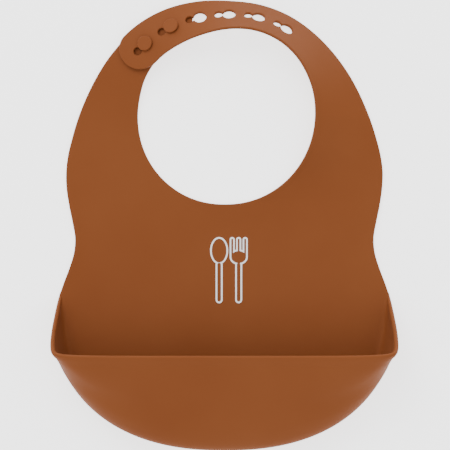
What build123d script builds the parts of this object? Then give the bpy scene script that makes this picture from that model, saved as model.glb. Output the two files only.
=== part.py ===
from build123d import *
from math import copysign, cos, radians, sin, sqrt
import os

# Silicone baby bib lying on its back, collar buttoned. Millimetres.
# +X to the right as seen from the front, +Y to the neck, +Z up out of the front face.
# The origin is the middle of the bib's outline, on the surface that it lies on.

# Moulded sheet
sheet = 2.0                # wall of the whole moulding
flex_gap = 0.3             # slit between two bodies where the sheet bends
strap_gap = 0.5            # air between the two buttoned straps

# Body outline, half widths at each height up the bib
fold_y = 0.0               # line across the chest where the bib folds
seam_y = 45.0              # line across both shoulders where the straps bend
seam_half_width = 104.0
pocket_top_y = -46.0       # where the pocket's rim leaves the panel
pocket_half_width = 109.3  # panel half width at the pocket's top
waist_y = -12.6
waist_half_width = 99.3
shoulder_y = 33.0
shoulder_half_width = 105.2

# Neck opening
neck_x = 1.4
neck_y = 71.8
neck_radius = 58.6

# Catch pocket
pocket_depth = 43.0        # height of the rim above the panel
rim_y = -87.0              # front rim, seen from the front
bottom_y = -149.0          # lowest point of the belly
bead_width = 2.8
bead_height = 2.2

# Straps
strap_width = 28.0
strap_tip_radius = 14.3
strap_tip_angle = 141.5    # where the keyhole strap's round tip is centred
peel_angle = 45.0          # ruling about which the keyhole strap peels up

# Keyholes and studs
keyhole_radius = 4.25
keyhole_small_radius = 2.7
keyhole_reach = 7.0        # large lobe to small lobe
keyhole_neck = 2.2         # width of the slot between the lobes
keyhole_pitch = 16.5       # degrees about the neck
first_keyhole_angle = 138.0
keyhole_count = 6
stud_count = 2
stud_head_radius = 5.0
stud_head_height = 1.7
stud_stem_radius = 2.6
stud_clearance = 0.3       # under the head, above the buttoned strap
stud_edge = 0.5

# Printed picture
print_x = 3.0
print_y = -30.0
print_height = 44.0
ink_line = 1.1
ink_thickness = 0.25
cutlery_spread = 13.0      # middle of the spoon to middle of the fork
handle_width = 4.6
handle_length = 28.0
spoon_half_width = 6.0
spoon_half_length = 9.0
tine_width = 3.4
tine_pitch = 4.3
tine_length = 15.0

# Pocket wall, from the panel up: share of the depth, widening of the half width,
# drop of the shoulder below pocket_top_y, share of the way from rim_y to bottom_y,
# squareness of the outline (2 is an ellipse).
pocket_sections = [
    (0.000, 0.0, 0.0, 0.790, 2.40),
    (0.070, 1.3, 4.0, 0.911, 2.37),
    (0.163, 2.3, 9.0, 0.977, 2.33),
    (0.279, 3.3, 14.0, 1.000, 2.30),
    (0.465, 4.5, 20.0, 0.855, 2.30),
    (0.698, 5.5, 28.0, 0.524, 2.40),
    (0.837, 5.5, 28.0, 0.290, 3.40),
    (1.030, 5.2, 28.0, -0.053, 7.00),
]
outline_steps = 18
pocket_back_y = pocket_top_y + 16.0
reach = 400.0              # larger than the whole bib, for cutting boxes

# Strap stations: angle about the neck, inner radius less neck_radius,
# width less strap_width, tilt of the sheet, share of the stack height.
shoulder_stations = [
    (0.0, 0.0, 9.5, 18.0, 0.0),
    (12.0, 0.5, 5.0, 29.0, 0.0),
    (28.0, 1.7, 1.3, 41.5, 0.0),
    (peel_angle, 2.2, 0.0, 50.5, 0.0),
]
keyhole_stations = [
    (peel_angle, 2.2, 0.0, 50.5, 0.0),
    (first_keyhole_angle - 5 * keyhole_pitch, 1.9, 0.0, 52.5, 0.05),
    (first_keyhole_angle - 4 * keyhole_pitch, 0.3, 0.0, 52.5, 0.2),
    (first_keyhole_angle - 3 * keyhole_pitch, -2.3, 0.0, 49.0, 0.5),
    (first_keyhole_angle - 2 * keyhole_pitch, -3.8, 0.0, 38.5, 1.0),
    (first_keyhole_angle - keyhole_pitch, -2.7, 0.0, 27.5, 1.0),
    (first_keyhole_angle, -0.3, 0.0, 17.0, 1.0),
    (154.0, 1.5, 0.0, 12.0, 1.0),
]
stud_stations = [
    (180.0, 0.0, 11.5, 2.0, 0.0),
    (165.0, 0.2, 4.0, 5.0, 0.0),
    (154.0, 2.0, -0.8, 10.0, 0.0),
    (first_keyhole_angle, 0.4, -1.0, 16.4, 0.0),
    (first_keyhole_angle - keyhole_pitch, -1.9, -1.0, 26.8, 0.0),
    (first_keyhole_angle - 2 * keyhole_pitch, -3.0, -1.0, 36.5, 0.0),
]
stack = sheet + strap_gap


def radial(angle):
    return Vector(cos(radians(angle)), sin(radians(angle)), 0)


def station_plane(station):
    """Cross-section plane of a strap: x runs up the sheet to the neck, y is its normal."""
    angle, inner, wider, tilt, stacked = station
    width = strap_width + wider
    across = -cos(radians(tilt)) * radial(angle) + sin(radians(tilt)) * Vector(0, 0, 1)
    normal = sin(radians(tilt)) * radial(angle) + cos(radians(tilt)) * Vector(0, 0, 1)
    foot = neck_radius + inner + width * cos(radians(tilt))
    origin = Vector(neck_x, neck_y, 0) + foot * radial(angle) + stack * stacked * normal
    return Plane(origin=origin, x_dir=across, z_dir=across.cross(normal))


def seat_plane(station):
    """Plane on top of the middle of the sheet at a station, x running round the neck."""
    section = station_plane(station)
    half_width = (strap_width + station[2]) / 2
    origin = section.origin + half_width * section.x_dir + sheet * section.y_dir
    return Plane(origin=origin, x_dir=section.z_dir, z_dir=section.y_dir)


def sheet_section(plane, width):
    """Rectangle of sheet on a cross-section plane, ready to loft."""
    with BuildSketch(plane, mode=Mode.PRIVATE) as section:
        Rectangle(width, sheet, align=(Align.MIN, Align.MIN))
    return section.sketch


def strap_sections(stations):
    return [sheet_section(station_plane(station), strap_width + station[2]) for station in stations]


def seam_section(side):
    """Section on the shoulder seam; side is 1 on the +X shoulder and -1 on the other."""
    neck_half_width = sqrt(neck_radius**2 - (neck_y - seam_y) ** 2)
    width = seam_half_width - side * neck_x - neck_half_width
    foot = (side * seam_half_width, seam_y + flex_gap / 2, 0)
    return sheet_section(Plane(origin=foot, x_dir=(-side, 0, 0), z_dir=(0, side, 0)), width)


def strap_mask(start_angle, tip_angle, tip_middle_radius):
    """Upright prism over a strap: a sector of the neck ring that ends in a round tip."""
    sweep = tip_angle - start_angle
    with BuildPart() as mask:
        with BuildSketch():
            with BuildLine():
                centre = Vector(neck_x, neck_y)
                first = centre + reach * radial(start_angle)
                middle = centre + reach * radial(start_angle + sweep / 2)
                last = centre + reach * radial(tip_angle)
                Line(centre, first)
                ThreePointArc(first, middle, last)
                Line(last, centre)
            make_face()
            with Locations(centre + tip_middle_radius * radial(tip_angle)):
                Circle(strap_tip_radius)
        extrude(amount=reach / 2, both=True)
    return mask.part


def pocket_curve(half_width, shoulder_y, front_y, squareness):
    """Points round the pocket at one height: half an ellipse, squared towards the rim."""
    points = []
    for step in range(outline_steps + 1):
        turn = radians(180 * step / outline_steps)
        across = copysign(abs(cos(turn)) ** (2 / squareness), cos(turn))
        down = sin(turn) ** (2 / squareness)
        points.append((half_width * across, shoulder_y - (shoulder_y - front_y) * down))
    points[0] = (half_width, shoulder_y)
    points[-1] = (-half_width, shoulder_y)
    return points


def pocket_front(share):
    """Front of the pocket's outline at a share of the way from the rim to the belly."""
    return rim_y + (bottom_y - rim_y) * share


def pocket_band(outward, inward):
    """Wall of the pocket, past its rim: horseshoes at rising heights, lofted.

    outward and inward are measured square to the pocket's outer face."""
    last = len(pocket_sections) - 1
    with BuildPart() as band:
        for index, (rise, wider, drop, share, squareness) in enumerate(pocket_sections):
            below = pocket_sections[max(index - 1, 0)]
            above = pocket_sections[min(index + 1, last)]
            run = pocket_front(above[3]) - pocket_front(below[3])
            lean = sqrt(1 + (run / ((above[0] - below[0]) * pocket_depth)) ** 2)
            half_width = pocket_half_width + wider
            top_y = pocket_top_y - drop
            outer = pocket_curve(half_width + outward, top_y, pocket_front(share) - outward * lean, squareness)
            inner = pocket_curve(half_width - inward, top_y, pocket_front(share) + inward * lean, squareness)
            with BuildSketch(Plane.XY.offset(sheet + rise * pocket_depth)):
                with BuildLine():
                    Spline(*outer)
                    Polyline(outer[-1], (outer[-1][0], pocket_back_y), (inner[-1][0], pocket_back_y), inner[-1])
                    Spline(*inner)
                    Polyline(inner[0], (inner[0][0], pocket_back_y), (outer[0][0], pocket_back_y), outer[0])
                make_face()
        loft()
    return band.part


def body_face(low_y, high_y):
    """The flat sheet between two heights, with the neck cut out of it."""
    floor_y = pocket_front(pocket_sections[0][3])
    floor = pocket_curve(pocket_half_width, pocket_top_y, floor_y, pocket_sections[0][4])
    side = [
        (pocket_half_width, pocket_top_y),
        (waist_half_width, waist_y),
        (shoulder_half_width, shoulder_y),
        (seam_half_width, seam_y),
    ]
    with BuildSketch(mode=Mode.PRIVATE) as face:
        with BuildLine():
            Spline(*side, tangents=((-0.35, 1), (-0.2, 1)))
            Line((seam_half_width, seam_y), (-seam_half_width, seam_y))
            Spline(*[(-x, y) for x, y in side], tangents=((0.35, 1), (0.2, 1)))
            Spline(*floor)
        make_face()
        with Locations((0, (low_y + high_y) / 2)):
            Rectangle(reach, high_y - low_y, mode=Mode.INTERSECT)
        with Locations((neck_x, neck_y)):
            Circle(neck_radius, mode=Mode.SUBTRACT)
    return face.sketch


def handle_face(x, shrink):
    """Handle of the printed spoon or fork, drawn in from its outline by shrink."""
    with BuildSketch(mode=Mode.PRIVATE) as handle:
        with Locations((x, print_y - print_height / 2 + handle_length / 2)):
            SlotOverall(handle_length - 2 * shrink, handle_width - 2 * shrink, rotation=90)
    return handle.sketch


def spoon_face(shrink):
    x = print_x - cutlery_spread / 2
    with BuildSketch(mode=Mode.PRIVATE) as spoon:
        add(handle_face(x, shrink))
        with Locations((x, print_y + print_height / 2 - spoon_half_length)):
            Ellipse(spoon_half_width - shrink, spoon_half_length - shrink)
    return spoon.sketch


def fork_face(shrink):
    x = print_x + cutlery_spread / 2
    top_y = print_y + print_height / 2
    with BuildSketch(mode=Mode.PRIVATE) as fork:
        add(handle_face(x, shrink))
        for tine in (-1, 0, 1):
            with Locations((x + tine * tine_pitch, top_y - tine_length / 2)):
                SlotOverall(tine_length - 2 * shrink, tine_width - 2 * shrink, rotation=90)
        with Locations((x, top_y - tine_length + tine_width / 2)):
            Ellipse(tine_pitch + tine_width / 2 - shrink, tine_width + tine_width / 2 - shrink)
    return fork.sketch


# Cutting planes
rim_plane = Plane(
    origin=(0, pocket_top_y, sheet),
    x_dir=(1, 0, 0),
    z_dir=(0, pocket_depth, pocket_top_y - rim_y),
)
bead_foot_plane = rim_plane.offset(-bead_height)

# Lower half of the flat sheet, with the floor of the pocket
with BuildPart() as lower_panel:
    with BuildSketch():
        add(body_face(bottom_y, fold_y - flex_gap / 2))
    extrude(amount=sheet)
lower_panel.part.label = "lower_panel"

# Chest above the fold, up to the shoulder seams
with BuildPart() as chest_panel:
    with BuildSketch():
        add(body_face(fold_y + flex_gap / 2, seam_y - flex_gap / 2))
    extrude(amount=sheet)
chest_panel.part.label = "chest_panel"

# Pocket wall, round the sides and the front, up to the underside of the bead
with BuildPart() as pocket_wall:
    add(pocket_band(0, sheet))
    split(bisect_by=bead_foot_plane, keep=Keep.BOTTOM)
pocket_wall.part.label = "pocket_wall"

# Thickened bead along the pocket's rim
bead_overhang = (bead_width - sheet) / 2
with BuildPart() as pocket_rim:
    add(pocket_band(bead_overhang, bead_width - bead_overhang))
    split(bisect_by=rim_plane, keep=Keep.BOTTOM)
    split(bisect_by=bead_foot_plane, keep=Keep.TOP)
pocket_rim.part.label = "pocket_rim"

# Right shoulder, from the seam to the line where the keyhole strap peels up
with BuildPart() as right_shoulder:
    loft([seam_section(1)] + strap_sections(shoulder_stations))
    split(bisect_by=station_plane(shoulder_stations[-1]).offset(-flex_gap / 2), keep=Keep.BOTTOM)
    split(bisect_by=Plane.XY, keep=Keep.TOP)
right_shoulder.part.label = "right_shoulder"

# Keyhole strap, buttoned over the stud strap
tip_middle = neck_radius + keyhole_stations[-2][1] + strap_width / 2
with BuildPart() as keyhole_strap:
    loft(strap_sections(keyhole_stations))
    split(bisect_by=station_plane(keyhole_stations[0]).offset(flex_gap / 2), keep=Keep.TOP)
    add(strap_mask(peel_angle - 5, strap_tip_angle, tip_middle), mode=Mode.INTERSECT)
    split(bisect_by=Plane.XY, keep=Keep.TOP)
    for station in keyhole_stations[1:-1]:
        with BuildSketch(seat_plane(station)):
            Circle(keyhole_radius)
            with Locations((keyhole_reach, 0)):
                Circle(keyhole_small_radius)
            with Locations((keyhole_reach / 2, 0)):
                Rectangle(keyhole_reach, keyhole_neck)
        extrude(amount=2 * sheet, both=True, mode=Mode.SUBTRACT)
keyhole_strap.part.label = "keyhole_strap"

# Stud strap, from the left shoulder seam to its tip under the keyhole strap
stud_tip_angle = first_keyhole_angle - (stud_count - 1) * keyhole_pitch
with BuildPart() as stud_strap:
    loft([seam_section(-1)] + strap_sections(stud_stations))
    add(strap_mask(230, stud_tip_angle, tip_middle), mode=Mode.INTERSECT)
    split(bisect_by=Plane.XY, keep=Keep.TOP)
stud_strap.part.label = "stud_strap"

# Studs: a stem through the keyhole's large lobe and a flat head above it
stud_names = ["tip_stud", "second_stud"]
studs = []
for name, station in zip(stud_names, keyhole_stations[-2:-2 - stud_count:-1]):
    top = seat_plane(station)
    with BuildPart() as stud:
        with BuildSketch(top.offset(-stack)):
            Circle(stud_stem_radius)
        extrude(amount=stack + stud_clearance)
        with BuildSketch(top.offset(stud_clearance)):
            Circle(stud_head_radius)
        extrude(amount=stud_head_height)
        chamfer(stud.faces().sort_by(Axis(top.origin, top.z_dir))[-1].edges(), stud_edge)
    stud.part.label = name
    studs.append(stud.part)

# Printed spoon and fork: white ink outlines on the panel
with BuildPart() as printed_spoon:
    with BuildSketch(Plane.XY.offset(sheet)):
        add(spoon_face(0))
        add(spoon_face(ink_line), mode=Mode.SUBTRACT)
    extrude(amount=ink_thickness)
printed_spoon.part.label = "printed_spoon"

with BuildPart() as printed_fork:
    with BuildSketch(Plane.XY.offset(sheet)):
        add(fork_face(0))
        add(fork_face(ink_line), mode=Mode.SUBTRACT)
    extrude(amount=ink_thickness)
printed_fork.part.label = "printed_fork"

os.makedirs("parts", exist_ok=True)
named = [lower_panel, chest_panel, pocket_wall, pocket_rim, right_shoulder, keyhole_strap, stud_strap]
pieces = [piece.part for piece in named + [printed_spoon, printed_fork]] + studs
for piece in pieces:
    export_step(piece, f"parts/{piece.label}.step")
everything = Compound(children=pieces)
box = everything.bounding_box()
print("box", box.min, box.max)
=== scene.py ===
import bpy
import numpy as np
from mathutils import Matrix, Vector, geometry


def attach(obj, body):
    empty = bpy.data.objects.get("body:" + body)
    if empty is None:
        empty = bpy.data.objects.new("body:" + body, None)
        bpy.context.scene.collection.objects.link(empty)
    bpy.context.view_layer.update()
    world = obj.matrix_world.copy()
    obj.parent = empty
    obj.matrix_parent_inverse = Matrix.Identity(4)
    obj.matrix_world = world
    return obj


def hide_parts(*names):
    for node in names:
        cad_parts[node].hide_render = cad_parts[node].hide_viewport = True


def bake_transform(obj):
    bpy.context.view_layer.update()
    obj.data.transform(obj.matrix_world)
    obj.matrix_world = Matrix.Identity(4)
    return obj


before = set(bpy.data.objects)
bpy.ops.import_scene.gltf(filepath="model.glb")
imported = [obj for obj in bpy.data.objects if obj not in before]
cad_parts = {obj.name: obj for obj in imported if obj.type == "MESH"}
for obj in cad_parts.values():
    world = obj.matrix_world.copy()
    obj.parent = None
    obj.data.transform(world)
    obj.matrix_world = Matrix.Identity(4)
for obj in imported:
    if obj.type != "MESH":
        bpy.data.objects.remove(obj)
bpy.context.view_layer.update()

mm = 0.001
# how every mesh is made, lengths in mm
meshing = {
    "weldStep": 1e-4,               # points that round to the same step become one
    "sharpAngle": 0.8,              # faces that meet at more than this, in radians, keep a hard edge
    "edgeSteps": 4,
    "endStep": 0.08,                # share of the quarter turn that its first and last steps take
    "seamRows": 8.0,                # rows over which a seam's normals turn away from straight up
}


def through(table, at):
    # smooth curve through the rows of a table whose first column is the parameter:
    # on each span, the cubic that has the table's values and its central-difference slopes at both ends
    table = np.array(table, float)
    knots, values = table[:, 0], table[:, 1:]
    slopes = np.gradient(values, knots, axis=0)
    at = np.clip(np.asarray(at, float), knots[0], knots[-1])
    k = np.clip(np.searchsorted(knots, at, side="right") - 1, 0, len(knots) - 2)
    span = (knots[k + 1] - knots[k])[..., None]
    t = (at - knots[k])[..., None] / span
    rising = values[k + 1] * t * t * (3 - 2 * t) + slopes[k + 1] * span * t * t * (t - 1)
    falling = values[k] * (1 + 2 * t) * (1 - t) ** 2 + slopes[k] * span * t * (1 - t) ** 2
    return np.moveaxis(rising + falling, -1, 0)


def ease(x):
    # 0 below 0, 1 above 1, and 3x^2 - 2x^3 between
    x = np.clip(x, 0, 1)
    return x * x * (3 - 2 * x)


def unit(v):
    # v divided by its length
    return v / np.maximum(np.linalg.norm(v, axis=-1, keepdims=True), 1e-12)


def gridNormals(points):
    # cross product of the two surface directions, turned to the front of the bib
    n = unit(np.cross(np.gradient(points, axis=0), np.gradient(points, axis=1)))
    return n if n[..., 2].mean() > 0 else -n


def edgeProfile():
    # a quarter turn from the top of an edge to its side, as (outward, up) = (sin, cos) of the angle turned;
    # the short steps at its ends keep the shading flat
    share = np.linspace(0, 1, meshing["edgeSteps"] + 1)
    short = meshing["endStep"]
    turn = np.pi / 2 * np.concatenate([[0, short], share[1:-1], [1 - short, 1]])
    return np.sin(turn), np.cos(turn)


def roundedEdge(middle, normal, outward, half, radius):
    # side wall of a sheet: height = half - radius + radius * up and push = radius * out on the front, then
    # the same with its height turned over on the back
    out, up = edgeProfile()
    out = np.concatenate([out, out[::-1]])
    half, radius = half[:, None], radius[:, None]
    top = half - radius + radius * up
    height = np.concatenate([top, -top[:, ::-1]], axis=1)
    push = radius * out[None, :]
    return middle[:, None] + outward[:, None] * push[..., None] + normal[:, None] * height[..., None]


def makeMesh(name, points, faces, flat=()):
    # corners that fall on the same weld step are merged, faces left with fewer than three corners are
    # dropped, and the faces listed in flat are shaded flat
    cells = np.round(points / meshing["weldStep"]).astype(np.int64)
    first, back = np.unique(cells, axis=0, return_index=True, return_inverse=True)[1:]
    back = back.reshape(-1).tolist()
    faces = [list(dict.fromkeys(back[corner] for corner in face)) for face in faces]
    smooth = np.ones(len(faces), bool)
    smooth[list(flat)] = False
    smooth = smooth[[len(face) > 2 for face in faces]]
    mesh = bpy.data.meshes.new(name)
    mesh.from_pydata((points[first] * mm).tolist(), [], [face for face in faces if len(face) > 2])
    mesh.polygons.foreach_set("use_smooth", smooth)
    mesh.validate()
    mesh.update()
    mesh.set_sharp_from_angle(angle=meshing["sharpAngle"])
    thing = bpy.data.objects.new(name, mesh)
    bpy.context.scene.collection.objects.link(thing)
    return thing


def thickSheet(name, points, half, radius, zipped=False):
    # a solid sheet: front = point + normal * half, back = point - normal * half, and each row of the grid
    # becomes one closed ring; the first row is a seam, where the normals turn to straight up
    # a zipped sheet is mirrored about x = 0, and its last row folds shut on itself there
    rows, columns = points.shape[:2]
    toSeam = ease(np.arange(rows) / meshing["seamRows"])[:, None, None]
    normal = unit(gridNormals(points) * toSeam + np.array([0, 0, 1]) * (1 - toSeam))
    if zipped:
        normal[-1, :, 0] = 0
        normal = unit(normal)
    along = np.gradient(points, axis=0)
    rings = [points + normal * half[..., None]]
    for column, inner in ((columns - 1, columns - 2), (0, 1)):
        outward = unit(np.cross(normal[:, column], along[:, column]))
        side = np.sum(outward * (points[:, column] - points[:, inner]), axis=-1)
        outward = outward * np.sign(side.sum())
        if zipped:
            outward[-1, 0] = 0
        wall = roundedEdge(points[:, column], normal[:, column], outward, half[:, column], radius[:, column])
        rings.append(wall[:, 1:-1] if column else wall[:, -2:0:-1])
        if column:
            rings.append((points - normal * half[..., None])[:, ::-1])
    rings = np.concatenate(rings, axis=1)
    ringCount = rings.shape[1]
    wallCount = (ringCount - 2 * columns) // 2
    index = np.arange(rows * ringCount).reshape(rows, ringCount)
    a, b = index[:-1], index[1:]
    quads = np.stack([a, b, np.roll(b, -1, 1), np.roll(a, -1, 1)], -1).reshape(-1, 4)
    # one point well inside the grid tells which way round its faces go
    m, k = rows // 3, columns // 3
    rightHanded = np.cross(points[m + 1, k] - points[m, k], points[m, k + 1] - points[m, k])[2] > 0
    if not rightHanded:
        quads = quads[:, ::-1]
    faces = quads.tolist()
    flat = []
    # flat caps close the open ends
    for row, start in [(0, True)] + ([] if zipped else [(rows - 1, False)]):
        ring = index[row]
        front = ring[:columns]
        rear = ring[columns + wallCount : 2 * columns + wallCount][::-1]
        cap = np.stack([front[:-1], front[1:], rear[1:], rear[:-1]], -1).tolist()
        cap.append([front[-1], *ring[columns : columns + wallCount], rear[-1]])
        cap.append([rear[0], *ring[2 * columns + wallCount :], front[0]])
        if start != rightHanded:
            cap = [face[::-1] for face in cap]
        flat += range(len(faces), len(faces) + len(cap))
        faces += cap
    return makeMesh(name, rings.reshape(-1, 3), faces, flat)


# the silicone sheet, in mm
sheet = {
    "thickness": 2.0,
    "edgeRadius": 0.6,
    "neckMiddle": (1.4, 71.8),
    "seamY": 13.2,                  # bottom of the neck opening, where the shoulders start
}
neckX, neckY = sheet["neckMiddle"]
halfSheet = sheet["thickness"] / 2
edgeRadius = sheet["edgeRadius"]
print("stage: helpers ready")

# lower half of the bib and its pocket, in mm
pocket = {
    "topY": -46.0,                  # where the rim leaves the panel
    "splitY": -74.0,                # rows run level above this, and fan round the front below it
    "rimY": -87.0,
    "rimHeight": 41.3,
    "rimEase": 3.0,
    "edgeFade": 14.0,               # length below topY over which the panel's edge turns into the wall
    "beadExtra": 0.45,              # extra half thickness of the bead along the rim
    "beadReach": 3.2,
    "beadFade": 1.8,
    "beadRound": 0.6,               # share of beadExtra by which the bead's edge is fully round
    "beadClear": 0.05,              # how much smaller the bead's edge radius stays than its half thickness
    "spineEnd": -118.0,
    "coveReach": 14.0,
    "coveStrength": 0.22,
    "coveTurns": 80,
    "coveFrom": -90.0,              # y where the cove of the side foot starts, and the length it grows over
    "coveGrow": 10.0,
    "cornerFrom": 23.0,             # z where the rounding of the corners starts, and the height it grows over
    "cornerGrow": 7.0,
    "cornerTo": 0.45,               # share of the front's rows that the rounding of the corners reaches
    "cornerFade": 0.2,
    "wallFull": 10.0,               # walls shorter than this are smoothed less
    "rimHold": (8.5, 0.6, 0.5),     # reach below the rim that is smoothed less: at most, per length, at least
    "rows": (34, 22, 64),
    "halfColumns": 96,
    "halvings": 40,
    "lengthSteps": 40,
}
# half width of the panel at each height, from the neck down
sideOutline = [
    (-46.0, 109.3), (-39.2, 107.0), (-28.6, 103.0), (-19.0, 100.1), (-10.0, 99.2), (3.0, 101.2),
    (13.2, 103.3), (23.0, 104.8),
]
# outer face of the pocket, floor to rim: height, half width, top of the round, front, squareness
pocketShape = [
    (0, 0.0, 109.3, -46.0, -129.0, 2.40),
    (1, 0.3, 109.7, -48.0, -137.0, 2.40),
    (2, 3.2, 110.4, -52.0, -144.5, 2.37),
    (3, 8.5, 111.5, -56.0, -148.2, 2.33),
    (4, 15.0, 112.7, -60.0, -148.8, 2.30),
    (5, 21.8, 113.8, -66.0, -139.0, 2.30),
    (6, 29.4, 114.6, -72.0, -120.5, 2.40),
    (7, 35.8, 114.9, -73.0, -103.0, 3.40),
    (8, 42.2, 114.8, -70.0, -84.5, 6.00),
]


def pocketSide(y, v):
    # x = w (1 - u^n)^(1/n), where u is how far y is down the round, and w, n follow the height step v
    z, w, top, front, n = through(pocketShape, v)
    u = np.clip((top - y) / (top - front), 0, 1)
    inset = edgeRadius + (halfSheet - edgeRadius) * ease((pocket["topY"] - y) / pocket["edgeFade"])
    x = (w - inset) * (1 - u**n) ** (1 / n)
    return np.stack([x, y + 0 * x, z + halfSheet], -1)


def pocketFront(share, v):
    # a ray turned by a from the side meets |x/w|^n + |y/d|^n = 1; share runs from the split to the middle
    z, w, top, front, n = through(pocketShape, v)
    w, d = w - halfSheet, top - front - halfSheet
    u = np.clip((top - pocket["splitY"]) / d, 0, 1)
    first = np.arctan2(u, (1 - u**n) ** (1 / n))
    a = first + (np.pi / 2 - first) * share
    r = (np.abs(np.cos(a)) ** n + np.sin(a) ** n) ** (-1 / n)
    return np.stack([w * r * np.cos(a), top - d * r * np.sin(a), z + halfSheet], -1)


def rimLine(y):
    # height of the rim: slope * drop^2 / (drop + rimEase), a straight slope that starts level at the panel
    drop = np.maximum(pocket["topY"] - y, 0)
    full = pocket["topY"] - pocket["rimY"]
    slope = (pocket["rimHeight"] - halfSheet) * (full + pocket["rimEase"]) / full**2
    return halfSheet + slope * drop**2 / (drop + pocket["rimEase"])


def coved(half, past, wallLength, share):
    # rounds the foot of the side wall and the corners: over and over, each point moves by its weight towards
    # the mean of its four neighbours; the weight is zero on the rim, on the outline below the corners and in
    # the middle of the front
    x, y, z = np.moveaxis(half, -1, 0)
    sideways = ease((pocket["cornerTo"] - share) / pocket["cornerFade"])
    foot = ease((y - pocket["coveFrom"]) / pocket["coveGrow"])
    foot = foot * ease((past + pocket["coveReach"]) / pocket["coveReach"]) * sideways * pocket["coveStrength"]
    corner = ease((z - pocket["cornerFrom"]) / pocket["cornerGrow"]) * sideways
    most, perLength, least = pocket["rimHold"]
    rimHold = ease((wallLength - past) / np.minimum(most, perLength * wallLength + least))
    weight = np.maximum(foot, corner) * ease(wallLength / pocket["wallFull"]) * rimHold
    weight = weight[1:, 1:-1, None]
    for turn in range(pocket["coveTurns"]):
        down = np.concatenate([half[2:, 1:-1], half[-2:-1, 1:-1]])
        mean = (half[:-1, 1:-1] + down + half[1:, :-2] + half[1:, 2:]) / 4
        half[1:, 1:-1] += weight * (mean - half[1:, 1:-1])
    return half


def bibBody():
    # half of the sheet as a grid, then its mirror image; below topY each row runs from the spine along the
    # floor to the foot of the wall, then up the wall to the rim, in steps of equal length
    flatRows, sideRows, frontRows = pocket["rows"]
    flatY = np.linspace(sheet["seamY"], pocket["topY"], flatRows, endpoint=False)
    sideY = np.linspace(pocket["topY"], pocket["splitY"], sideRows, endpoint=False)
    share = np.linspace(0, 1, frontRows)

    def wallAt(v):
        # points of the outer face at one height step per row, the level rows first
        side = pocketSide(sideY[:, None], v[:sideRows])
        return np.concatenate([side, pocketFront(share[:, None], v[sideRows:])])

    # height step at which each row meets the rim, by halving
    low = np.zeros((sideRows + frontRows, 1))
    high = np.full_like(low, pocketShape[-1][0])
    for halving in range(pocket["halvings"]):
        middle = (low + high) / 2
        point = wallAt(middle)
        above = point[..., 2] > rimLine(point[..., 1])
        high = np.where(above, middle, high)
        low = np.where(above, low, middle)
    rim = (low + high) / 2
    samples = wallAt(rim * np.linspace(0, 1, pocket["lengthSteps"])[None, :])
    wallLength = np.linalg.norm(np.diff(samples, axis=1), axis=-1).sum(1)[:, None]
    foot = samples[:, :1]
    spineY = pocket["splitY"] + (pocket["spineEnd"] - pocket["splitY"]) * share
    spineY = np.concatenate([sideY, spineY])[:, None]
    spine = np.stack([0 * spineY, spineY, 0 * spineY + halfSheet], -1)
    floorLength = np.linalg.norm(foot - spine, axis=-1)
    across = np.linspace(0, 1, pocket["halfColumns"] + 1)[None, :]
    run = across * (floorLength + wallLength)
    onFloor = spine + (foot - spine) * np.clip(run / floorLength, 0, 1)[..., None]
    climb = np.clip((run - floorLength) / np.maximum(wallLength, 1e-9), 0, 1)
    half = np.where((run > floorLength)[..., None], wallAt(rim * climb), onFloor)
    half = coved(half, run - floorLength, wallLength, np.concatenate([0 * sideY, share])[:, None])
    fromRim = (1 - across) * (floorLength + wallLength)
    bead = ease((pocket["topY"] - half[:, -1:, 1]) / pocket["edgeFade"])
    bead = bead * ease((pocket["beadReach"] - fromRim) / pocket["beadFade"])

    # the flat panel above the pocket, and the other half
    edge = through(sideOutline, flatY)[0][:, None] - edgeRadius
    flat = np.stack([edge * across, flatY[:, None] + 0 * across, 0 * edge + 0 * across + halfSheet], -1)
    half = np.concatenate([flat, half])
    bead = np.concatenate([0 * flat[..., 0], bead])
    mirrored = half[:, :0:-1] * np.array([-1, 1, 1])
    points = np.concatenate([mirrored, half], axis=1)
    thick = halfSheet + pocket["beadExtra"] * np.concatenate([bead[:, :0:-1], bead], axis=1)
    fullness = ease((thick - halfSheet) / (pocket["beadRound"] * pocket["beadExtra"]))
    radius = edgeRadius + (thick - pocket["beadClear"] - edgeRadius) * fullness
    return thickSheet("bibBody", points, thick, radius, zipped=True)


bibBodyPiece = bibBody()
print("stage: body and pocket", len(bibBodyPiece.data.polygons), "faces")

leftStrap = {
    "from": 270.0,                  # angles about the neck, in degrees
    "to": 109.5,
    "outerTurn": 29.4,              # how far past 180 degrees the outer edge reaches at the seam
    "hollow": 0.4,
    "rows": 210,
    "columns": 44,
    "tipRadius": 13.4,
    "middleRadius": 69.0,
    "tipEnd": 0.995,
}
rightStrap = {
    "from": -90.0,
    "to": 30.0,
    "outerTurn": 30.07,
    "hollow": 0.6,
    "rows": 170,
    "columns": 44,
}
# left half of the collar, by angle about the neck: radius and height, along the neck and along the outer edge
leftInner = [
    (105.0, 56.9, 16.9), (121.5, 57.9, 13.1), (138.0, 60.0, 8.6), (154.0, 60.3, 5.6), (167.0, 59.6, 2.8),
    (180.0, 59.5, 1.7), (210.0, 59.8, 1.1), (240.0, 59.6, 1.0), (270.0, 58.6, 1.0),
]
leftOuter = [
    (105.0, 77.2, 0.9), (121.5, 81.0, 0.9), (138.0, 84.3, 0.95), (147.9, 85.6, 1.0), (154.4, 87.2, 1.0),
    (162.4, 89.5, 1.0), (169.7, 92.3, 1.0), (176.4, 95.6, 1.0), (182.6, 99.3, 1.0), (188.5, 103.4, 1.0),
    (193.8, 107.9, 1.0), (199.0, 112.1, 1.0), (204.0, 115.8, 1.0), (209.4, 119.37, 1.0),
]
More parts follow.
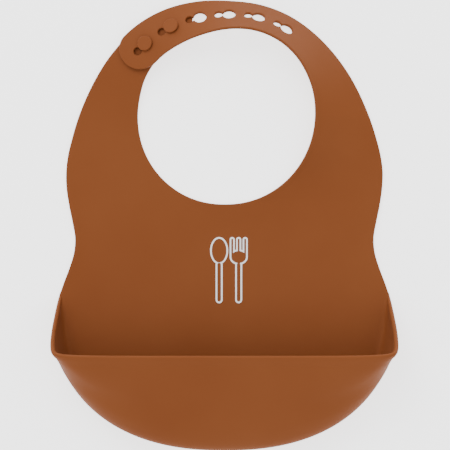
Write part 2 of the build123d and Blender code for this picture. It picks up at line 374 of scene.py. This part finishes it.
# right half, from below the wearer's chin round to the strap's tip
rightInner = [
    (-115.0, 58.6, 1.0), (-90.0, 58.6, 1.0), (-65.0, 58.7, 1.35), (-40.0, 58.7, 4.2), (-20.0, 58.8, 9.5),
    (0.0, 59.3, 14.6), (14.0, 60.1, 17.4), (28.0, 60.9, 20.0), (45.0, 61.7, 22.3), (55.5, 61.6, 23.0),
    (72.0, 60.5, 23.2), (88.5, 58.6, 22.6), (105.0, 57.2, 20.3), (121.5, 57.6, 16.2),
    (138.0, 59.4, 11.7), (156.0, 61.0, 9.2),
]
rightOuter = [
    (-30.07, 116.94, 1.0), (-24.5, 113.1, 1.0), (-19.4, 109.5, 1.0), (-14.2, 105.1, 1.0), (-8.7, 100.4, 0.95),
    (-2.7, 96.0, 0.9), (3.7, 92.0, 0.9), (10.7, 88.6, 0.85), (18.4, 85.6, 0.8), (28.0, 82.7, 0.75),
    (45.0, 79.6, 0.7), (55.5, 78.6, 0.7), (72.0, 77.2, 0.9), (88.5, 76.4, 1.5), (105.0, 78.5, 2.75),
    (121.5, 81.9, 3.1), (138.0, 85.3, 3.35), (156.0, 88.3, 3.45),
]


def polar(angle, radius, height):
    # (neckX + radius * cos, neckY + radius * sin, height) of an angle in degrees
    turn = np.radians(angle)
    return np.stack([neckX + radius * np.cos(turn), neckY + radius * np.sin(turn), height + 0 * turn], -1)


def ruled(innerTable, outerTable, angle, outerAngle, s, lift):
    # straight rulings from the neck edge (s = 0) to the outer edge (s = 1), their height falling to the
    # outer edge's as (1 - s)^lift; a lift above 1 hollows them
    inner = polar(angle, *through(innerTable, angle))
    outer = polar(outerAngle, *through(outerTable, outerAngle))
    point = inner + (outer - inner) * s[..., None]
    rise = (inner - outer)[..., 2] * (1 - s) ** lift
    point[..., 2] = outer[..., 2] + rise
    return point


def leftPoint(angle, s):
    # rulings turn from level, under the neck, to straight out from its middle
    past = np.clip(angle - 180, 0, 90) / 90
    outerAngle = np.minimum(angle, 180) + leftStrap["outerTurn"] * np.sin(past * np.pi / 2)
    return ruled(leftInner, leftOuter, angle, outerAngle, s, 1.0 + leftStrap["hollow"] * past)


def rightPoint(angle, s):
    # the same, mirrored
    past = np.clip(-angle, 0, 90) / 90
    outerAngle = np.maximum(angle, 0) - rightStrap["outerTurn"] * np.sin(past * np.pi / 2)
    return ruled(rightInner, rightOuter, angle, outerAngle, s, 1.0 + rightStrap["hollow"] * past)


def shoulder(name, strap, surface, narrow):
    # a sheet along the rulings of one side, each narrowed about its middle; its first row lies on the seam
    angle = np.linspace(strap["from"], strap["to"], strap["rows"])[:, None]
    s = np.linspace(0, 1, strap["columns"])[None, :]
    points = surface(angle + 0 * s, 0.5 + (s - 0.5) * narrow(angle))
    points[0, :, 1] = sheet["seamY"]
    size = points.shape[:2]
    return thickSheet(name, points, np.full(size, halfSheet), np.full(size, edgeRadius))


def leftTip(angle):
    # width of the stud strap's round tip, sqrt(1 - past^2), where past runs over the tip's own length
    tipStart = leftStrap["to"] + np.degrees(leftStrap["tipRadius"] / leftStrap["middleRadius"])
    past = np.clip((tipStart - angle) / (tipStart - leftStrap["to"]), 0, leftStrap["tipEnd"])
    return np.sqrt(1 - past**2)


def fullWidth(angle):
    # the right shoulder keeps its width up to the keyhole strap
    return 1 + 0 * angle


leftPiece = shoulder("leftShoulder", leftStrap, leftPoint, leftTip)
rightPiece = shoulder("rightShoulder", rightStrap, rightPoint, fullWidth)
print("stage: shoulders", len(leftPiece.data.polygons), len(rightPiece.data.polygons), "faces")

# in mm along and across the strap, angles in degrees
keyholeStrap = {
    "from": 30.0,
    "tipAngle": 141.5,
    "holes": (138.0, 121.5, 105.0, 88.5, 72.0, 55.5),
    "largeRadius": 4.25,
    "smallRadius": 2.7,
    "reach": 7.0,                   # from the middle of the large circle to that of the small one
    "neckHalf": 1.1,
    "neckSlack": 0.02,
    "holeEdge": 0.45,
    "circleSteps": (40, 24),
    "spacing": 1.5,                 # of the points inside the strap
    "edgeSpacing": 0.9,
    "clearance": 0.75,              # between an edge and the nearest point inside
    "tipSteps": 48,
    "seamSteps": 30,
    "gridTo": 160.0,
    "width": 28.0,
    "middleRadius": 69.0,
    "slopeStep": 0.05,
    "edgeProbe": 5,                 # which point of the outline tells outward from inward
}
strapWidth = keyholeStrap["width"] - 2 * edgeRadius             # between the middles of its rounded edges
strapFlatten = keyholeStrap["middleRadius"] * np.pi / 180       # mm of strap for each degree about the neck


def strapFrame(angle, s):
    # point and normal: the cross product of two small differences, one along the strap and one across it
    step = keyholeStrap["slopeStep"]
    along = rightPoint(angle + step, s) - rightPoint(angle - step, s)
    across = rightPoint(angle, s + step) - rightPoint(angle, s - step)
    normal = unit(np.cross(along, across))
    return rightPoint(angle, s), normal * np.sign(normal[..., 2:3])


def onStrap(holeAngle, du, dw):
    # du runs along the strap to its tip, dw across it, from the strap's middle line: the angle grows by
    # du / distance from the neck's middle, and s by dw / width
    s = 0.5 + dw / strapWidth
    here = rightPoint(holeAngle + 0 * s, s)
    radius = np.hypot(here[..., 0] - neckX, here[..., 1] - neckY)
    return holeAngle + np.degrees(du / radius), s


def keyholeOutline(grow):
    # two circles joined by a slot, each grown outward by the same amount; meet is where the circles cross,
    # (reach^2 + big^2 - small^2) / (2 reach), and the slot is never narrower than they are there
    big, small = keyholeStrap["largeRadius"] + grow, keyholeStrap["smallRadius"] + grow
    meet = (keyholeStrap["reach"] ** 2 + big**2 - small**2) / (2 * keyholeStrap["reach"])
    crossing = np.sqrt(max(big**2 - meet**2, 0)) + keyholeStrap["neckSlack"]
    neck = max(keyholeStrap["neckHalf"] + grow, crossing)
    first, second = np.arcsin(neck / big), np.arcsin(neck / small)
    bigSteps, smallSteps = keyholeStrap["circleSteps"]
    a = np.linspace(first, 2 * np.pi - first, bigSteps)
    b = np.linspace(np.pi + second, 3 * np.pi - second, smallSteps)
    u = np.concatenate([big * np.cos(a), keyholeStrap["reach"] + small * np.cos(b)])
    w = np.concatenate([big * np.sin(a), small * np.sin(b)])
    return u, w


def insideKeyhole(u, w, grow):
    # inside either circle or the slot between them
    big = np.hypot(u, w) < keyholeStrap["largeRadius"] + grow
    small = np.hypot(u - keyholeStrap["reach"], w) < keyholeStrap["smallRadius"] + grow
    slot = (u > 0) & (u < keyholeStrap["reach"]) & (np.abs(w) < keyholeStrap["neckHalf"] + grow)
    return big | small | slot


def insideLoop(spots, loop):
    # odd number of the loop's edges crossed by a line going out sideways from each spot
    x, y = spots[:, :1], spots[:, 1:]
    ax, ay = loop.T
    bx, by = np.roll(loop, -1, axis=0).T
    spans = (ay > y) != (by > y)
    rise = np.where(by == ay, 1.0, by - ay)
    return (spans & (x < ax + (y - ay) * (bx - ax) / rise)).sum(1) % 2 == 1


def insideStrap(angle, s):
    # inside the strap's outline, with its round tip, and outside every keyhole
    here = rightPoint(angle, s)
    radius = np.hypot(here[..., 0] - neckX, here[..., 1] - neckY)
    along = np.radians(angle - keyholeStrap["tipAngle"]) * radius
    good = (along < 0) | (np.hypot(along, (s - 0.5) * strapWidth) < strapWidth / 2)
    for hole in keyholeStrap["holes"]:
        u = np.radians(angle - hole) * radius
        good &= ~insideKeyhole(u, (s - 0.5) * strapWidth, keyholeStrap["holeEdge"])
    return good


def strapLoops():
    # edges as (angle, s): the outline, from the seam along the outer edge to the tip, round it, back along
    # the neck edge and across the seam, then one loop for each keyhole
    start, tip = keyholeStrap["from"], keyholeStrap["tipAngle"]
    run = np.linspace(start, tip, int((tip - start) * strapFlatten / keyholeStrap["edgeSpacing"]))
    beta = np.linspace(np.pi / 2, -np.pi / 2, keyholeStrap["tipSteps"])[1:-1]
    tipAngle, tipS = onStrap(tip, strapWidth / 2 * np.cos(beta), strapWidth / 2 * np.sin(beta))
    seamS = np.linspace(0, 1, keyholeStrap["seamSteps"])[1:-1]
    angles = np.concatenate([run, tipAngle, run[::-1], np.full(len(seamS), start)])
    loops = [(angles, np.concatenate([np.ones(len(run)), tipS, np.zeros(len(run)), seamS]))]
    outline = keyholeOutline(keyholeStrap["holeEdge"])
    return loops + [onStrap(hole, *outline) for hole in keyholeStrap["holes"]]


def strapTriangles(loops):
    # points and triangles of the strap's middle surface, laid flat: the loops, a staggered grid of points
    # inside them, and a Delaunay triangulation without the triangles outside the outline or in a keyhole
    spacing = keyholeStrap["spacing"]
    gridA = np.arange(keyholeStrap["from"], keyholeStrap["gridTo"], spacing / strapFlatten)
    gridA, gridS = np.meshgrid(gridA, np.arange(0, 1.001, spacing / strapWidth))
    gridA[1::2] += spacing / strapFlatten / 2
    gridA, gridS = gridA.ravel(), gridS.ravel()
    border = np.concatenate([np.stack([a * strapFlatten, s * strapWidth], -1) for a, s in loops])
    inner = np.stack([gridA * strapFlatten, gridS * strapWidth], -1)
    gap = np.linalg.norm(inner[:, None] - border[None], axis=-1).min(1)
    keep = (gap > keyholeStrap["clearance"]) & insideStrap(gridA, gridS) & (gridA > keyholeStrap["from"])
    flat = np.concatenate([border, inner[keep]])
    spans, edges = [], []
    for a, s in loops:
        ring = np.arange(len(a)) + sum(map(len, spans))
        edges += np.stack([ring, np.roll(ring, -1)], -1).tolist()
        spans.append(ring)
    result = geometry.delaunay_2d_cdt([tuple(p) for p in flat], edges, [], 0, 1e-6)
    spots = np.array([tuple(p) for p in result[0]])
    triangles = np.array([list(f) for f in result[2]])
    centre = spots[triangles].mean(1)
    inside = insideLoop(centre, flat[spans[0]])
    for ring in spans[1:]:
        inside &= ~insideLoop(centre, flat[ring])
    return spots[:, 0] / strapFlatten, spots[:, 1] / strapWidth, triangles[inside], spans


def keyholePiece():
    # two copies of the middle surface, half the thickness up and down its normals, joined by rounded walls
    angle, s, triangles, spans = strapTriangles(strapLoops())
    middle, normal = strapFrame(angle, s)
    corner = middle[triangles]
    turned = np.cross(corner[:, 1] - corner[:, 0], corner[:, 2] - corner[:, 0])
    turned = np.sum(turned * normal[triangles[:, 0]], -1)
    triangles = np.where(turned[:, None] > 0, triangles, triangles[:, ::-1])
    total = len(middle)
    points = [middle + normal * halfSheet, middle - normal * halfSheet]
    faces = triangles.tolist() + (triangles[:, ::-1] + total).tolist()
    flatFaces = []
    base = 2 * total
    for ring in spans:
        isOutline = ring is spans[0]
        m, n = middle[ring], normal[ring]
        along = np.roll(m, -1, 0) - np.roll(m, 1, 0)
        radius = np.full(len(ring), edgeRadius if isOutline else keyholeStrap["holeEdge"])
        if isOutline:               # the seam stays flat, and its corners look along the strap's edges
            last = len(ring) - (keyholeStrap["seamSteps"] - 2)
            along[0] = m[1] - m[0]
            along[last - 1] = m[last - 1] - m[last - 2]
            radius[last:] = 0
        outward = unit(np.cross(along, n))
        if isOutline:               # away from the middle of the neck
            probe = keyholeStrap["edgeProbe"]
            fromNeck = m[probe] - np.array([neckX, neckY, m[probe, 2]])
            sign = np.sign(np.sum(outward[probe] * fromNeck))
        else:                       # towards the middle of the hole
            sign = -np.sign(np.sum(outward * (m - m.mean(0)), -1).mean())
        wall = roundedEdge(m, n, outward * sign, np.full(len(ring), halfSheet), radius)[:, 1:-1]
        steps = wall.shape[1]
        index = base + np.arange(len(ring) * steps).reshape(len(ring), steps)
        index = np.concatenate([ring[:, None], index, ring[:, None] + total], 1)
        base += len(ring) * steps
        points.append(wall.reshape(-1, 3))
        nextIndex = np.roll(index, -1, 0)
        quads = np.stack([index[:, :-1], index[:, 1:], nextIndex[:, 1:], nextIndex[:, :-1]], -1)
        if sign < 0:
            quads = quads[..., ::-1]
        if isOutline:
            seamRows = np.arange(len(ring)) >= last - 1
            flatFaces += (len(faces) + np.nonzero(np.repeat(seamRows, quads.shape[1]))[0]).tolist()
        faces += quads.reshape(-1, 4).tolist()
    return makeMesh("keyholeStrap", np.concatenate(points), faces, flatFaces)


keyholeStrapPiece = keyholePiece()
print("stage: keyhole strap", len(keyholeStrapPiece.data.polygons), "faces")

# in mm from the face of the keyhole strap
stud = {
    "names": ("tipStud", "secondStud"),
    "headRadius": 5.0,
    "headHeight": 1.7,
    "stemRadius": 2.6,
    "edge": 0.5,
    "below": 4.4,                   # foot of the stem under the keyhole strap's face
    "clear": 0.3,
    "foot": ((0.8, 0.0), (0.2, 0.7), (0.0, 1.6)),      # how far the stem flares, and how high above its foot
    "crown": ((0.55, 0.03), (0.2, 0.05)),              # share of the head's radius, and how far below its top
    "turnSteps": 64,
    "sideways": (0.3, 1.0, 0.1),
}


def studPiece(name, hole):
    # the profile (radius, height) turned about the strap's normal through the keyhole
    middle, normal = strapFrame(np.array([hole]), np.array([0.5]))
    up = normal[0]
    seat = middle[0] + up * halfSheet
    side = unit(np.cross(up, stud["sideways"]))
    other = np.cross(up, side)
    out, rise = edgeProfile()
    flare, climb = np.array(stud["foot"]).T
    share, sink = np.array(stud["crown"]).T
    edge, head = stud["edge"], stud["headRadius"]
    top = stud["clear"] + stud["headHeight"]
    headEdge = head - edge + edge * out
    radii = np.concatenate([stud["stemRadius"] + flare, [stud["stemRadius"]], headEdge, headEdge[::-1],
                            head * share])
    heights = np.concatenate([climb - stud["below"], [stud["clear"]], stud["clear"] + edge - edge * rise,
                              (top - edge + edge * rise)[::-1], top - sink])
    turn = np.linspace(0, 2 * np.pi, stud["turnSteps"], endpoint=False)
    ring = np.cos(turn)[None, :, None] * side + np.sin(turn)[None, :, None] * other
    points = seat + up * heights[:, None, None] + ring * radii[:, None, None]
    index = np.arange(points.shape[0] * points.shape[1]).reshape(points.shape[:2])
    a, b = index[:-1], index[1:]
    quads = np.stack([a, np.roll(a, -1, 1), np.roll(b, -1, 1), b], -1).reshape(-1, 4).tolist()
    quads += [index[0][::-1].tolist(), index[-1].tolist()]
    return makeMesh(name, points.reshape(-1, 3), quads)


studPieces = [studPiece(name, hole) for name, hole in zip(stud["names"], keyholeStrap["holes"])]
print("stage: studs")

siliconeLook = {
    "colour": (0.183, 0.0505, 0.0128),
    "paler": (0.203, 0.060, 0.0170),
    "drift": (14, 3),               # scale and detail of each noise
    "driftMix": (-0.4, 1.4),
    "patches": (60, 4),
    "roughness": 0.58,
    "roughnessSpread": 0.05,
    "grain": (2600, 2),
    "grainBump": (0.12, 0.00012),   # strength, and height in metres
    "swell": (55, 2),
    "swellBump": (0.15, 0.0006),
    "sheen": 0.02,
    "sheenRoughness": 0.5,
    "sheenTint": (1.0, 0.9, 0.82),
    "refraction": 1.42,
    "specular": 0.12,
}
inkLook = {
    "colour": (0.86, 0.85, 0.83),
    "paler": (0.93, 0.93, 0.92),
    "mottle": (900, 3),
    "bump": (0.1, 0.0001),
    "roughness": 0.55,
}


def newMaterial(name):
    # an empty material, its nodes, its links and its shader
    material = bpy.data.materials.new(name)
    material.use_nodes = True
    nodes, links = material.node_tree.nodes, material.node_tree.links
    return material, nodes, links, nodes["Principled BSDF"]


def noiseFactor(nodes, links, coordinates, noiseScale):
    # noise over the piece's own coordinates
    noise = nodes.new("ShaderNodeTexNoise")
    noise.inputs["Scale"].default_value, noise.inputs["Detail"].default_value = noiseScale
    links.new(coordinates.outputs["Object"], noise.inputs["Vector"])
    return noise.outputs["Fac"]


def ranged(nodes, links, source, low, high):
    # low + (high - low) * source
    change = nodes.new("ShaderNodeMapRange")
    change.inputs["To Min"].default_value = low
    change.inputs["To Max"].default_value = high
    links.new(source, change.inputs["Value"])
    return change.outputs["Result"]


def mixed(nodes, links, factor, look):
    # the look's colour turning into its paler one by the factor
    mix = nodes.new("ShaderNodeMix")
    mix.data_type = "RGBA"
    mix.inputs["A"].default_value = (*look["colour"], 1)
    mix.inputs["B"].default_value = (*look["paler"], 1)
    links.new(factor, mix.inputs["Factor"])
    return mix.outputs["Result"]


def bumped(nodes, links, height, bump, under=None):
    # normals tilted by a height, on top of the normals under it
    node = nodes.new("ShaderNodeBump")
    node.inputs["Strength"].default_value, node.inputs["Distance"].default_value = bump
    links.new(height, node.inputs["Height"])
    if under:
        links.new(under, node.inputs["Normal"])
    return node.outputs["Normal"]


def siliconeMaterial():
    # matte moulded silicone: slow colour drift, patchy roughness, fine grain and a broad swell
    look = siliconeLook
    material, nodes, links, shader = newMaterial("terracottaSilicone")
    coordinates = nodes.new("ShaderNodeTexCoord")
    drift = noiseFactor(nodes, links, coordinates, look["drift"])
    colour = mixed(nodes, links, ranged(nodes, links, drift, *look["driftMix"]), look)
    links.new(colour, shader.inputs["Base Color"])
    patches = noiseFactor(nodes, links, coordinates, look["patches"])
    low, high = look["roughness"] - look["roughnessSpread"], look["roughness"] + look["roughnessSpread"]
    links.new(ranged(nodes, links, patches, low, high), shader.inputs["Roughness"])
    grain = noiseFactor(nodes, links, coordinates, look["grain"])
    swell = noiseFactor(nodes, links, coordinates, look["swell"])
    fine = bumped(nodes, links, grain, look["grainBump"])
    links.new(bumped(nodes, links, swell, look["swellBump"], fine), shader.inputs["Normal"])
    shader.inputs["Sheen Weight"].default_value = look["sheen"]
    shader.inputs["Sheen Roughness"].default_value = look["sheenRoughness"]
    shader.inputs["Sheen Tint"].default_value = (*look["sheenTint"], 1)
    shader.inputs["IOR"].default_value = look["refraction"]
    shader.inputs["Specular IOR Level"].default_value = look["specular"]
    return material


def inkMaterial():
    # screen-printed white ink with a slightly uneven surface
    material, nodes, links, shader = newMaterial("whiteInk")
    mottle = noiseFactor(nodes, links, nodes.new("ShaderNodeTexCoord"), inkLook["mottle"])
    links.new(mixed(nodes, links, mottle, inkLook), shader.inputs["Base Color"])
    links.new(bumped(nodes, links, mottle, inkLook["bump"]), shader.inputs["Normal"])
    shader.inputs["Roughness"].default_value = inkLook["roughness"]
    return material


silicone = siliconeMaterial()
ink = inkMaterial()
siliconePieces = [bibBodyPiece, leftPiece, rightPiece, keyholeStrapPiece, *studPieces]
for piece in siliconePieces:
    piece.data.materials.append(silicone)
for node in ("printed_spoon", "printed_fork"):
    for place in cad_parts[node].material_slots:
        place.material = ink
print("stage: materials")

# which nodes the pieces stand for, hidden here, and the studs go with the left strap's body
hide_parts("lower_panel", "pocket_wall", "pocket_rim")
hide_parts("stud_strap")
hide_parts("chest_panel", "right_shoulder")
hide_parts("keyhole_strap")
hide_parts("tip_stud")
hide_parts("second_stud")
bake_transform(bibBodyPiece)
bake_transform(leftPiece)
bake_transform(rightPiece)
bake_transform(keyholeStrapPiece)
for piece in studPieces:
    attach(piece, "left_strap")

# floor, light and camera, in metres
studio = {
    "floorColour": (0.93, 0.93, 0.93),
    "floorRoughness": 0.9,
    "floorGlow": 2.0,
    "floorHalf": 3.0,
    "floorZ": -0.0003,
    "world": 1.2,
    "key": 24.0,
    "keyPlace": (-0.75, 1.4, 1.5),
    "keySize": 1.5,
    "fill": 3.0,
    "fillPlace": (0.6, -0.8, 1.5),
    "fillSize": 1.2,
    "cameraX": 0.0004,
    "cameraHeight": 4.0,
    "cameraReach": 50,
    "viewWidth": 0.29925,
    "sensor": 36,
}
white = (1, 1, 1, 1)


def areaLight(name, place, size, power):
    # a round lamp that looks at the origin
    light = bpy.data.lights.new(name, "AREA")
    light.shape = "DISK"
    light.size = size
    light.energy = power
    thing = bpy.data.objects.new(name, light)
    bpy.context.scene.collection.objects.link(thing)
    thing.location = place
    thing.rotation_euler = (-Vector(place)).to_track_quat("-Z", "Y").to_euler()


floorMesh = bpy.data.meshes.new("floor")
corners = [(-1, -1), (1, -1), (1, 1), (-1, 1)]
floorPoints = [(x * studio["floorHalf"], y * studio["floorHalf"], studio["floorZ"]) for x, y in corners]
floorMesh.from_pydata(floorPoints, [], [(0, 1, 2, 3)])
floor = bpy.data.objects.new("floor", floorMesh)
bpy.context.scene.collection.objects.link(floor)
floorMaterial, *_, floorShader = newMaterial("paleFloor")
floorShader.inputs["Base Color"].default_value = (*studio["floorColour"], 1)
floorShader.inputs["Roughness"].default_value = studio["floorRoughness"]
floorShader.inputs["Emission Color"].default_value = white
floorShader.inputs["Emission Strength"].default_value = studio["floorGlow"]
floorMesh.materials.append(floorMaterial)

world = bpy.data.worlds.new("studioWorld")
world.use_nodes = True
background = world.node_tree.nodes["Background"]
background.inputs["Color"].default_value = white
background.inputs["Strength"].default_value = studio["world"]
bpy.context.scene.world = world
areaLight("keyLight", studio["keyPlace"], studio["keySize"], studio["key"])
areaLight("fillLight", studio["fillPlace"], studio["fillSize"], studio["fill"])

# a long lens, so that viewWidth metres fill the picture at the height of the floor
cameraData = bpy.data.cameras.new("camera")
cameraData.sensor_width = studio["sensor"]
cameraData.lens = studio["sensor"] * studio["cameraHeight"] / studio["viewWidth"]
cameraData.clip_end = studio["cameraReach"]
camera = bpy.data.objects.new("camera", cameraData)
bpy.context.scene.collection.objects.link(camera)
camera.location = (studio["cameraX"], 0.0, studio["cameraHeight"])
bpy.context.scene.camera = camera
print("stage: studio")
